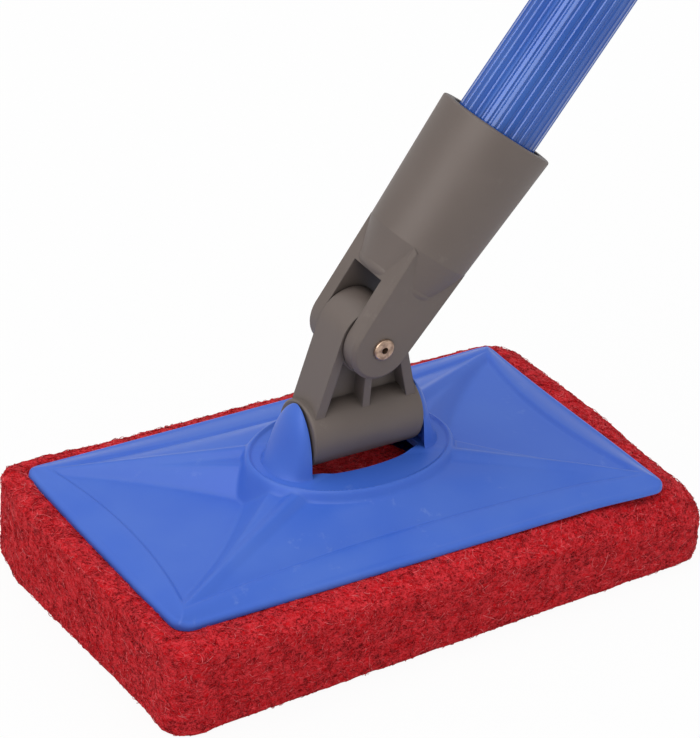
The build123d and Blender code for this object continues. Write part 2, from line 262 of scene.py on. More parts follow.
class Material:
    """A material being built: its tree, its coordinates and its Principled shader."""

    def __init__(self, name: str, turned: Matrix | None = None) -> None:
        """Start a material.

        Args:
            name: its name.
            turned: frame that its pattern follows, or None for the object's own.
        """
        self.material = bpy.data.materials.new(name)
        self.tree = cleared_tree(self.material)
        self.shader = self.tree.add("BsdfPrincipled")
        self.tree.add("OutputMaterial", {0: self.shader.outputs[0]})
        self.place = self.tree.add("TexCoord").outputs["Object"]
        if turned is not None:
            values = {"Vector": self.place, "Location": turned.translation, "Rotation": turned.to_euler()}
            self.place = self.tree.add("Mapping", values, vector_type="TEXTURE").outputs[0]

    def mottle(self, base: Colour, cloud: Colour, scale: float, share: float) -> bpy.types.NodeOutputs:
        """Place the cloudy tone: scale is its clouds per metre, share how much the second colour shows."""
        return self.group(GroupName.MOTTLE, Base=base, Cloud=cloud, Scale=scale, Amount=share)

    def group(self, name: GroupName, **inputs: object) -> bpy.types.NodeOutputs:
        """Place a shared group.

        Args:
            name: which group.
            **inputs: values for its inputs.

        Returns:
            The group's outputs.
        """
        node = self.tree.add("Group", node_tree=GROUPS.get(name))
        for key, value in {"Vector": self.place, **inputs}.items():
            self.tree.feed(value, node.inputs[key])
        return node.outputs

    def bump(self, height: Socket, depth: float, strength: float = 1.0, soften: float = 0.0) -> None:
        """Roughen the surface.

        Args:
            height: the height mask.
            depth: metres from the mask's 0 to its 1.
            strength: share of the effect.
            soften: radius that edges seem to have.
        """
        node = self.tree.add("Bump", {"Strength": strength, "Distance": depth, "Height": height})
        if soften > 0:
            rounded = self.tree.add("Bevel", {"Radius": soften}, samples=4).outputs[0]
            self.tree.feed(rounded, node.inputs["Normal"])
        self.tree.feed(node.outputs[0], self.shader.inputs["Normal"])

    def painted_crevice_shade(self, colour: Socket, reach: float, deepest_shade: Colour) -> Socket:
        """Paint shade into a colour: darker in creases and recesses, where shade falls.

        Args:
            colour: the open surface's colour.
            reach: how near walls must be for the painted shade to darken the colour.
            deepest_shade: what multiplies the colour where the painted shade is darkest.

        Returns:
            The colour with its painted shade.
        """
        # Painted shade: ambient occlusion darkens the colour in creases and recesses, standing in for the
        # shade there.
        unshaded_share = self.tree.add("AmbientOcclusion", {"Distance": reach}, samples=8).outputs["AO"]
        shade_tint = self.tree.blend(self.tree.ramp(unshaded_share, 0.25, 0.95), deepest_shade, (1.0, 1.0, 1.0))
        return self.tree.blend(1.0, colour, shade_tint, mode="MULTIPLY")

    def set(self, **values: object) -> None:
        """Set the shader's inputs, named with underscores for blanks, to values or sockets."""
        for key, value in values.items():
            self.tree.feed(value, self.shader.inputs[key.replace("_", " ")])


@dataclass(frozen=True)
class PlasticFinish:
    """Moulded plastic with cloudy tone, fine grain, small scuffs and painted shade in its creases and
    recesses.
    """

    name: str
    base: Colour
    cloud: Colour
    scuff: Colour
    roughness: float = 0.45
    roughness_spread: Pair = (-0.05, 0.06)
    cloud_scale: float = 40.0
    cloud_share: float = 0.35
    grain_scale: float = 1800.0
    grain_depth: float = 0.02 * MM
    grain_strength: float = 0.6
    scuff_share: float = 0.25
    specular: float = 0.5
    soften: float = 0.0
    # painted shade: what multiplies the plastic's colour in its darkest recesses, and how near walls must be
    # to darken it
    deepest_shade: Colour = (0.45, 0.45, 0.45)
    shade_reach: float = 7 * MM

    def build(self) -> Look:
        """Make the material."""
        made = Material(self.name)
        mottle = made.mottle(self.base, self.cloud, self.cloud_scale, self.cloud_share)
        wear = made.group(GroupName.WEAR)
        share = made.tree.math("MULTIPLY", wear["Mask"], self.scuff_share)
        colour = made.tree.blend(share, mottle["Colour"], self.scuff)
        # painted shade darkens the colour in creases and recesses
        colour = made.painted_crevice_shade(colour, self.shade_reach, self.deepest_shade)
        low, high = (self.roughness + spread for spread in self.roughness_spread)
        rough = made.tree.stretch(mottle["Mask"], low, high)
        made.set(Base_Color=colour, Roughness=rough, Specular_IOR_Level=self.specular)
        grain = made.group(GroupName.GRAIN, Scale=self.grain_scale)
        made.bump(grain["Height"], self.grain_depth, self.grain_strength, self.soften)
        return made.material


@dataclass(frozen=True)
class CoatedTubeFinish:
    """Glossy coating on drawn metal, streaked along the tube."""

    name: str
    base: Colour
    pale: Colour
    frame: Matrix
    cloud_scale: float = 28.0
    cloud_share: float = 0.1
    streak_share: float = 0.1
    streak_depth: float = 0.015 * MM
    streak_strength: float = 0.4
    roughness: float = 0.2
    roughness_spread: float = 0.12
    metallic: float = 0.12
    specular: float = 0.2
    coat: float = 0.9
    coat_roughness: float = 0.05

    def build(self) -> Look:
        """Make the material."""
        made = Material(self.name, self.frame)
        streaks = made.group(GroupName.STREAKS)["Mask"]
        mottle = made.mottle(self.base, self.pale, self.cloud_scale, self.cloud_share)
        share = made.tree.math("MULTIPLY", streaks, self.streak_share)
        colour = made.tree.blend(share, mottle["Colour"], self.pale)
        rough = made.tree.stretch(streaks, self.roughness, self.roughness + self.roughness_spread)
        made.set(Base_Color=colour, Roughness=rough, Metallic=self.metallic)
        made.set(Coat_Weight=self.coat, Coat_Roughness=self.coat_roughness, Specular_IOR_Level=self.specular)
        made.bump(streaks, self.streak_depth, self.streak_strength)
        return made.material


@dataclass(frozen=True)
class PlatedFinish:
    """Plated metal, a little tarnished."""

    name: str
    base: Colour
    tarnish: Colour
    cloud_scale: float = 600.0
    cloud_share: float = 0.7
    roughness: float = 0.32
    roughness_spread: float = 0.2
    metallic: float = 0.9
    grain_scale: float = 3000.0
    grain_depth: float = 0.02 * MM
    grain_strength: float = 0.6

    def build(self) -> Look:
        """Make the material."""
        made = Material(self.name)
        mottle = made.mottle(self.base, self.tarnish, self.cloud_scale, self.cloud_share)
        rough = made.tree.stretch(mottle["Mask"], self.roughness, self.roughness + self.roughness_spread)
        made.set(Base_Color=mottle["Colour"], Roughness=rough, Metallic=self.metallic)
        grain = made.group(GroupName.GRAIN, Scale=self.grain_scale)
        made.bump(grain["Height"], self.grain_depth, self.grain_strength)
        return made.material


@dataclass(frozen=True)
class FibreFinish:
    """Dyed plastic fibre, with painted shade in the web's recesses and a painted highlight where a strand
    catches the light.
    """

    name: str
    hollow_shade: Colour
    body: Colour
    strand: Colour
    glint: Colour
    squash: Triple = (0.7, 0.7, 1.1)
    layers: tuple[Pair, ...] = ((480.0, 0.040), (700.0, 0.050), (1000.0, 0.055))
    layer_step: Triple = (3.1, 1.7, 0.9)
    web_share: float = 0.7
    clump_scale: float = 720.0
    clump_share: float = 2.0
    broad_scale: float = 110.0
    broad_share: float = 0.5
    middle: float = 1.25
    roughness: float = 0.75
    specular: float = 0.15
    clump_height: float = 1.6
    relief: float = 0.25 * MM
    relief_strength: float = 0.9

    def _web(self, made: Material, place: Socket) -> Socket:
        """Lay layers of thin winding lines over one another.

        Args:
            made: the material.
            place: the coordinates.

        Returns:
            The lines' mask.
        """
        tree, web = made.tree, None
        for index, (scale, width) in enumerate(self.layers):
            moved = tree.vector("ADD", place, tuple(step * index for step in self.layer_step)).outputs[0]
            value = tree.noise(moved, scale, roughness=0.55)
            off = tree.math("ABSOLUTE", tree.math("SUBTRACT", value, 0.5))
            line = tree.ramp(off, width, width * 0.25)
            web = line if web is None else tree.math("MAXIMUM", web, line)
        return web

    def build(self) -> Look:
        """Make the material."""
        made = Material(self.name)
        tree = made.tree
        tone = tree.add("Attribute", attribute_name="tone", attribute_type="GEOMETRY").outputs["Fac"]
        squashed = tree.vector("MULTIPLY", made.place, self.squash).outputs[0]
        web = self._web(made, squashed)
        clump = tree.noise(squashed, self.clump_scale, detail=3.0, roughness=0.7)
        broad = tree.noise(squashed, self.broad_scale)
        clumps = tree.math("MULTIPLY", clump, self.clump_share)
        uneven = tree.math("ADD", clumps, tree.math("MULTIPLY", broad, self.broad_share))
        shade = tree.math("ADD", tone, tree.math("SUBTRACT", uneven, self.middle))
        # painted light: a low relief tone shows the painted shade colour of recesses, a high one the painted
        # highlight; random clumps shift both
        dark = tree.blend(tree.ramp(shade, 0.05, 0.6), self.hollow_shade, self.body)
        lined = tree.blend(tree.math("MULTIPLY", web, self.web_share), dark, self.strand)
        colour = tree.blend(tree.ramp(shade, 0.85, 1.3), lined, self.glint)
        made.set(Base_Color=colour, Roughness=self.roughness, Specular_IOR_Level=self.specular)
        height = tree.math("ADD", web, tree.math("MULTIPLY", clump, self.clump_height))
        made.bump(height, self.relief, self.relief_strength)
        return made.material


# ---------------- meshes


def new_object(name: str, data: bpy.types.ID, materials: list[Look] | tuple = ()) -> Object:
    """Put a mesh, curve, lamp or camera in the scene.

    Args:
        name: the object's name.
        data: the mesh or the like.
        materials: its materials, in slot order.

    Returns:
        The object.
    """
    made = bpy.data.objects.new(name, data)
    bpy.context.scene.collection.objects.link(made)
    for material in materials:
        data.materials.append(material)
    return made


def dress(node: str, material: Look) -> None:
    """Give a CAD node its material."""
    for slot in frame["nodes"][node].material_slots:
        slot.material = material


def finished(shape: BMesh, name: str) -> Mesh:
    """Turn a shape into a new mesh, and free the shape.

    Args:
        shape: the shape.
        name: the mesh's name.

    Returns:
        The mesh.
    """
    mesh = bpy.data.meshes.new(name)
    shape.to_mesh(mesh)
    shape.free()
    return mesh


def joined(parts: list[Mesh], name: str) -> Mesh:
    """Join meshes into one, and remove them.

    Args:
        parts: the meshes.
        name: the joined mesh's name.

    Returns:
        The joined mesh.
    """
    whole = bmesh.new()
    for part in parts:
        whole.from_mesh(part)
        bpy.data.meshes.remove(part)
    return finished(whole, name)


def baked(source: Object, name: str) -> Mesh:
    """Turn an object into a mesh with its modifiers applied, and remove the object.

    Args:
        source: the object.
        name: the mesh's name.

    Returns:
        The mesh.
    """
    graph = bpy.context.evaluated_depsgraph_get()
    mesh = bpy.data.meshes.new_from_object(source.evaluated_get(graph))
    mesh.name = name
    bpy.data.objects.remove(source)
    return mesh


def cut_off(shape: BMesh, place: float, sign: int) -> None:
    """Cut off what lies beyond a place along X, and close the cut.

    Args:
        shape: what is cut.
        place: where along X.
        sign: which side goes, -1 or +1.
    """
    whole = shape.verts[:] + shape.edges[:] + shape.faces[:]
    plane = {"plane_co": (place, 0, 0), "plane_no": (sign, 0, 0)}
    bmesh.ops.bisect_plane(shape, geom=whole, clear_outer=True, **plane)
    bmesh.ops.holes_fill(shape, edges=[edge for edge in shape.edges if edge.is_boundary], sides=0)


def smooth_max(first: Array, second: Array, reach: float) -> Array:
    """Return the larger of two heights, blended where they differ by less than a reach."""
    share = np.clip(1 - np.abs(first - second) / reach, 0, 1)
    return np.maximum(first, second) + share * share * reach / 4


def smooth_min(first: Array, second: Array, reach: float) -> Array:
    """Return the smaller of two heights, blended where they differ by less than a reach."""
    return -smooth_max(-first, -second, reach)


def smooth_step(value: Array | float) -> Array:
    """Ease a share between 0 and 1."""
    share = np.clip(value, 0, 1)
    return share * share * (3 - 2 * share)


def along_line(x: Array, y: Array, start: Pair, end: Pair) -> tuple[Array, Array]:
    """Measure places against a line.

    Args:
        x, y: the places.
        start, end: the line's ends.

    Returns:
        How far along it they lie, 1 at its end, and how far to its left.
    """
    origin, run = Vector(start), Vector(end) - Vector(start)
    way = run.normalized()
    ahead = ((x - origin.x) * way.x + (y - origin.y) * way.y) / run.length
    return ahead, (y - origin.y) * way.x - (x - origin.x) * way.y


@dataclass(frozen=True)
class Pull:
    """A level shift that fades out round a spot, in millimetres."""

    spot: Pair
    move: Pair
    near: float
    far: float
    foot: float = 0.0

    def share(self, x: Array | float, y: Array | float) -> Array:
        """Return how much of the shift places get: all of it nearer than near, none beyond far."""
        away = np.hypot(x - self.spot[0], y - self.spot[1])
        return smooth_step((self.far - away) / (self.far - self.near))


@dataclass(frozen=True)
class Oval:
    """A level oval outline, by its half axes."""

    half_x: float
    half_y: float

    def outside(self, x: Array, y: Array) -> Array:
        """Return about how far points lie outside the oval, negative inside."""
        share = np.maximum(np.hypot(x / self.half_x, y / self.half_y), 1e-6)
        return np.hypot(x, y) * (1 - 1 / share)

    def middle(self, place: Vector) -> float:
        """Return 1 over the oval's middle, 0 over its line and less outside."""
        return 1 - math.hypot(place.x / self.half_x, place.y / self.half_y)


def oval_block(foot: Oval, head: Oval, level: float, reach: float, sides: int = 160) -> BMesh:
    """Make an upright block between two ovals.

    Args:
        foot, head: its outlines below and above.
        level: its middle's height.
        reach: half its height.
        sides: how many sides it has.

    Returns:
        The block.
    """
    shape = bmesh.new()
    bmesh.ops.create_cone(shape, cap_ends=True, segments=sides, radius1=1.0, radius2=1.0, depth=2 * reach)
    for oval, sign in ((foot, -1), (head, 1)):
        ring = [vertex for vertex in shape.verts if sign * vertex.co.z > 0]
        bmesh.ops.scale(shape, vec=(oval.half_x, oval.half_y, 1.0), verts=ring)
    bmesh.ops.translate(shape, vec=(0, 0, level), verts=shape.verts)
    return shape


# ---------------- head


@dataclass
class FibrePad:
    """The red pad: a rough core with loose strands all over its open faces."""

    node: str = "abrasive_pad"
    doubles: float = 0.005 * MM
    voxel: float = 0.85 * MM
    top: float = 24 * MM
    flat_below: float = 0.6 * MM
    lump_grain: Triple = (190, 190, 380)
    pit_grain: Triple = (420, 420, 800)
    lump_depth: float = 0.30 * MM
    lump_share: float = 0.7
    pit_share: float = 0.9
    # how far the painted shade of the pits and the painted highlight of the lumps follow the relief
    relief_shade_swing: float = 0.45
    swell: float = 0.25 * MM
    strands: int = 30000
    strand_points: int = 5
    strand_length: Pair = (2.0 * MM, 8.0 * MM)
    strand_radius: Pair = (0.06 * MM, 0.12 * MM)
    strand_lift: Pair = (0.0 * MM, 0.7 * MM)
    strand_sink: float = 0.12 * MM
    strand_slant: float = 0.9
    strand_turn: float = 0.4
    strand_wander: float = 0.25
    strand_tone: Triple = (0.2, 1.0, 1.4)
    under_share: float = 0.35
    under_slope: float = -0.8
    shelf_half: Pair = (79.8 * MM, 43.8 * MM)
    shelf_fade: float = 4 * MM
    loose_end: float = 45 * MM
    loose_fade: float = 30 * MM
    loose_rise: float = 1.1 * MM
    trims: tuple[Pull, ...] = (
        Pull((-90.0, 50.5), (2.7, 0.0), 8.0, 24.0, foot=-14.0),
        Pull((-86.3, -55.7), (-1.5, -0.9), 4.0, 16.0, foot=-14.0),
        Pull((88.4, -36.0), (-3.4, 0.0), 6.0, 46.0, foot=9.0),
    )
    trim_fade: float = 14.0
    covered_half: Pair = (77.0 * MM, 41.0 * MM)
    covered_from: float = 20 * MM
    bulge: Oval = Oval(26.0 * MM, 17.0 * MM)
    bulge_fade: float = 0.4
    bulge_rise: float = 5.5 * MM
    seed: int = 7

    def _slack(self, place: Vector) -> Vector:
        """Return how far the hand-cut, springy pad is off its nominal block.

        Args:
            place: a place on the nominal block.

        Returns:
            The shift there.
        """
        shift = Vector((0.0, 0.0, 0.0))
        for trim in self.trims:
            share = trim.share(place.x / MM, place.y / MM)
            share *= smooth_step((place.z / MM - trim.foot) / self.trim_fade)
            shift += Vector((*trim.move, 0.0)) * (float(share) * MM)
        height = max(0.0, place.z / self.top)
        beyond = max(abs(place.x) - self.shelf_half[0], abs(place.y) - self.shelf_half[1])
        free = smooth_step((-place.x - self.loose_end) / self.loose_fade)
        shift.z = self.loose_rise * float(free * smooth_step(beyond / self.shelf_fade)) * height**2
        bulged = smooth_step(self.bulge.middle(place) / self.bulge_fade)
        shift.z += self.bulge_rise * float(bulged) * height
        return shift

    def core(self) -> Mesh:
        """Remesh the CAD pad evenly and roughen it.

        Returns:
            The core's mesh, with its tone attribute.
        """
        shape = bmesh.new()
        shape.from_mesh(frame["nodes"][self.node].data)
        bmesh.ops.remove_doubles(shape, verts=shape.verts, dist=self.doubles)
        block = new_object("pad_core", finished(shape, "pad_core"))
        remesh = block.modifiers.new("even", "REMESH")
        remesh.mode = "VOXEL"
        remesh.voxel_size = self.voxel
        mesh = baked(block, "pad_core")
        tones = []
        starts = [(vertex.co.copy(), vertex.normal.copy()) for vertex in mesh.vertices]
        for vertex, (place, out) in zip(mesh.vertices, starts):
            lump = noise.fractal(place * Vector(self.lump_grain), 0.9, 2.0, 4)
            pit = min(0.0, noise.noise(place * Vector(self.pit_grain)))
            shift = self.lump_depth * (self.lump_share * lump + self.pit_share * pit)
            if place.z < self.flat_below:
                shift = min(0.0, shift)
            vertex.co = place + out * (shift + self.swell) + self._slack(place)
            # painted light: pits get a low tone for painted shade, lumps a high tone for a painted highlight
            tones.append(max(0.0, min(1.0, 0.5 + self.relief_shade_swing * shift / self.lump_depth)))
        mesh.attributes.new("tone", "FLOAT", "POINT").data.foreach_set("value", tones)
        mesh.polygons.foreach_set("use_smooth", [True] * len(mesh.polygons))
        return mesh

    def _open(self, place: Vector) -> bool:
        """Say whether the plate leaves this place on the pad open to view."""
        beside = abs(place.x) >= self.covered_half[0] or abs(place.y) >= self.covered_half[1]
        return place.z <= self.covered_from or beside or self.bulge.middle(place) > 0

    def strand_curves(self, core: Mesh) -> Mesh:
        """Lay loose strands over the core.

        Args:
            core: the core's mesh.

        Returns:
            The strands' mesh, with its tone attribute.
        """
        rng = random.Random(self.seed)
        tree = BVHTree.FromPolygons([v.co for v in core.vertices], [p.vertices for p in core.polygons])
        faces = [face for face in core.polygons if self._open(face.center)]
        shares = [self.under_share if face.normal.z < self.under_slope else 1.0 for face in faces]
        weights = [face.area * share for face, share in zip(faces, shares)]
        picks = rng.choices(faces, weights=weights, k=self.strands)
        curve = bpy.data.curves.new("pad_strands", "CURVE")
        curve.dimensions = "3D"
        curve.bevel_depth = 1.0
        curve.bevel_resolution = 0
        tones = []
        last = self.strand_points - 1
        least, spread, power = self.strand_tone
        for face in picks:
            place, out = face.center.copy(), face.normal.copy()
            level = Vector((0, 0, 1)).cross(out)
            if level.length < 0.5:
                heading = rng.uniform(0, math.tau)
                ahead = Vector((math.cos(heading), math.sin(heading), 0))
            else:
                ahead = level.normalized()
                ahead.rotate(Matrix.Rotation(rng.gauss(0, self.strand_slant), 3, out))
                if rng.random() < 0.5:
                    ahead.negate()
            step = rng.uniform(*self.strand_length) * rng.uniform(0.4, 1.0) / last
            lift = rng.uniform(*self.strand_lift) * rng.random()
            turn = rng.gauss(0, self.strand_turn)
            radius = rng.uniform(*self.strand_radius)
            points: list[float] = []
            for index in range(self.strand_points):
                rise = lift * math.sin(math.pi * index / last) - self.strand_sink
                points.extend((*(place + out * rise), 1.0))
                ahead.rotate(Matrix.Rotation(turn + rng.gauss(0, self.strand_wander), 3, out))
                place, out, _, _ = tree.find_nearest(place + ahead * step)
                ahead = (ahead - out * ahead.dot(out)).normalized()
            spline = curve.splines.new("POLY")
            spline.points.add(last)
            spline.points.foreach_set("co", points)
            spline.points.foreach_set("radius", [radius] * self.strand_points)
            # random tone per strand; the palest strands take the painted highlight colour
            tones.append(least + spread * rng.random() ** power)
        mesh = baked(new_object("pad_strands", curve), "pad_strands")
        tones = np.repeat(tones, len(mesh.vertices) // self.strands)
        mesh.attributes.new("tone", "FLOAT", "POINT").data.foreach_set("value", tones)
        return mesh

    def build(self, material: Look) -> None:
        """Make the whole pad as one piece.

        Args:
            material: the fibre's material.
        """
        core = self.core()
        pad = new_object("fibre_pad", joined([core, self.strand_curves(core)], "fibre_pad"), [material])
        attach(pad, "head")
        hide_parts(self.node)


@dataclass(frozen=True)
class PlateRelief:
    """The plate's top surface as a height over the plate, in millimetres, alike in all four quarters."""

    half_length: float = 80.2
    half_width: float = 44.2
    border_top: float = 26.7
    brow_corner: Pair = (75.4, 38.6)
    brow_waist: Pair = (70.0, 33.4)
    brow_rise: float = 1.8
    brow_share: float = 0.78
    brow_power: float = 1.25
    field_corner: Pair = (74.2, 37.4)
    field_waist: Pair = (68.8, 32.6)
    field_top_corner: Pair = (24.0, 15.5)
    field_top_waist: Pair = (33.0, 24.0)
    field_rise: float = 6.2
    field_drop: float = 0.4
    field_range: Pair = (-0.3, 1.3)
    field_halvings: int = 18
    field_blend: float = 1.0
    pocket_corner: Pair = (73.2, 35.0)
    pocket_inner: Pair = (35.2, 1.6)
    pocket_level: float = 1.0
    pocket_bow: float = 1.5
    pocket_blend: float = 0.7
    wall_slope: float = 0.9
    wall_blend: float = 0.9
    lip_start: float = 0.2
    lip_reach: float = 1.4
    arm_tip: Pair = (73.4, 37.0)
    arm_root: Pair = (22.0, 11.5)
    arm_range: Pair = (-0.05, 1.2)
    arm_half: Pair = (0.5, 1.6)
    arm_rise: Pair = (2.1, 9.6)
    arm_crown: float = 0.10
    arm_slope: float = 1.0
    arm_blend: float = 1.2
    collar_head: Oval = Oval(31.4, 22.6)
    collar_rise: float = 10.1
    collar_slope: float = 2.3
    collar_blend: float = 0.8
    dish_depth: float = 0.8
    dish_start: float = 0.5
    rim_width: float = 1.3
    blend: float = 1.1

    def _brow(self, x: Array, y: Array) -> tuple[Array, Array]:
        """Shape the crowned border.

        Args:
            x, y: distances from the middle.

        Returns:
            Its heights, and how far inside its highest line the places lie.
        """
        (waist_x, waist_y), (corner_x, corner_y) = self.brow_waist, self.brow_corner
        line_x = waist_x + (corner_x - waist_x) * (y / corner_y) ** 2
        line_y = waist_y + (corner_y - waist_y) * (x / corner_x) ** 2
        end, side = (x - line_x) / (self.half_length - line_x), (y - line_y) / (self.half_width - line_y)
        share = np.maximum(end, side)
        crown = np.cos(0.5 * math.pi * np.clip(share / self.brow_share, 0, 1)) ** self.brow_power
        return self.border_top + self.brow_rise * crown, np.minimum(line_x - x, line_y - y)

    def _slope(self, along: Array, across: Array, axis: int) -> Array:
        """Shape the ruled slope on the side that faces an axis.

        Args:
            along, across: distances from the middle, along that side and towards it.
            axis: 0 for the slopes at the plate's ends, 1 for its long sides'.

        Returns:
            The heights.
        """
        low_side, top_side = self.field_corner[1 - axis], self.field_top_corner[1 - axis]
        low_waist, top_waist = self.field_waist[axis], self.field_top_waist[axis]
        low_bow, top_bow = self.field_corner[axis] - low_waist, self.field_top_corner[axis] - top_waist
        low, high = (np.full_like(along, end) for end in self.field_range)
        for _ in range(self.field_halvings):
            share = 0.5 * (low + high)
            place = along / (low_side + (top_side - low_side) * share)
            line = (1 - share) * (low_waist + low_bow * place**2) + share * (top_waist + top_bow * place**2)
            inside = line > across
            low, high = np.where(inside, share, low), np.where(inside, high, share)
        rise = self.field_rise * np.clip(low, self.field_range[0], 1.0)
        return self.border_top + self.brow_rise - self.field_drop + rise

    def _pocket(self, x: Array, y: Array) -> Array:
        """Shape the sunk end floor and its leaning walls.

        Args:
            x, y: distances from the middle.

        Returns:
            The heights.
        """
        share, beyond = along_line(x, y, self.pocket_inner, self.pocket_corner)
        rise = (beyond - self.pocket_bow * np.clip(4 * share * (1 - share), 0, 1)) * self.wall_slope
        return self.border_top + self.pocket_level + smooth_max(rise, 0 * rise, self.wall_blend)

    def _arm(self, x: Array, y: Array) -> Array:
        """Shape the arm that runs from the corner to the collar.

        Args:
            x, y: distances from the middle.

        Returns:
            The heights.
        """
        share, off = along_line(x, y, self.arm_tip, self.arm_root)
        share, off = np.clip(share, *self.arm_range), np.abs(off)
        half, rise = (tip + (root - tip) * share for tip, root in (self.arm_half, self.arm_rise))
        crown = self.arm_crown * half * np.clip(off / half, 0, 1) ** 2
        flank = self.arm_slope * smooth_max(off - half, 0 * off, self.arm_blend)
        return self.border_top + rise - crown - flank

    def height(self, x: Array, y: Array) -> Array:
        """Shape the whole top surface.

        Args:
            x, y: places over the plate.

        Returns:
            The heights above the scrubbing face.
        """
        x, y = np.abs(x), np.abs(y)
        brow, inside = self._brow(x, y)
        slopes = smooth_min(self._slope(x, y, 1), self._slope(y, x, 0), self.field_blend)
        panel = smooth_min(slopes, self._pocket(x, y), self.pocket_blend)
        panel = smooth_max(panel, self._arm(x, y), self.blend)
        surface = brow + (panel - brow) * smooth_step((inside + self.lip_start) / self.lip_reach)
        edge = self.collar_head.outside(x, y)
        flank = self.collar_slope * smooth_max(edge, 0 * edge, self.collar_blend)
        surface = smooth_max(surface, self.border_top + self.collar_rise - flank, self.blend)
        return surface - self.dish_depth * smooth_step(self.dish_start - self.rim_width - edge)


@dataclass(frozen=True)
class CheekForm:
    """One of the plate's two cheeks, in millimetres: flat to the barrel, rounded at its top and back."""

    face_x: float = 18.6
    axis_z: float = 45.4
    root_z: float = 35.2
    top_z: float = 55.0
    half_width: float = 9.8
    depth: float = 8.9
    taper: tuple[float, ...] = (1.0, -1.48, 1.42, -0.74)
    foot_flare: float = 1.6
    flare_reach: float = 0.05
    flare_depth: float = 0.4
    least: float = 0.02
    last_ring: float = 0.9998
    rings: int = 30
    sides: int = 88

    def _ring(self, share: float) -> Pair:
        """Size one ring of the cheek.

        Args:
            share: the ring's place, 0 at the root and 1 at the top.

        Returns:
            Its depth and half width.
        """
        flare = self.foot_flare * math.exp(-share / self.flare_reach)
        width = self.half_width * max(0.0, 1 - share**2.1) ** 0.6 + flare
        taper = sum(factor * share**power for power, factor in enumerate(self.taper))
        depth = self.depth * taper * (1 - share**9) + self.flare_depth * flare
        return max(depth, self.least), max(width, self.least)

    def build(self, side: int) -> BMesh:
        """Make a cheek.

        Args:
            side: -1 or +1, along X.

        Returns:
            The cheek.
        """
        part = bmesh.new()
        loops = []
        for index in range(self.rings + 1):
            share = self.last_ring * math.sin(0.5 * math.pi * index / self.rings)
            level = self.root_z + (self.top_z - self.root_z) * share
            made = bmesh.ops.create_circle(part, segments=self.sides, radius=1.0)["verts"]
            bmesh.ops.scale(part, vec=(*self._ring(share), 1.0), verts=made)
            bmesh.ops.translate(part, vec=(0.0, 0.0, level), verts=made)
            loops.append([edge for edge in part.edges if edge.verts[0] in made and edge.verts[1] in made])
        for low, high in zip(loops, loops[1:]):
            bmesh.ops.bridge_loops(part, edges=low + high)
        bmesh.ops.contextual_create(part, geom=loops[-1])
        cut_off(part, 0.0, -side)
        bmesh.ops.translate(part, vec=(side * self.face_x, 0, 0), verts=part.verts)
        return part


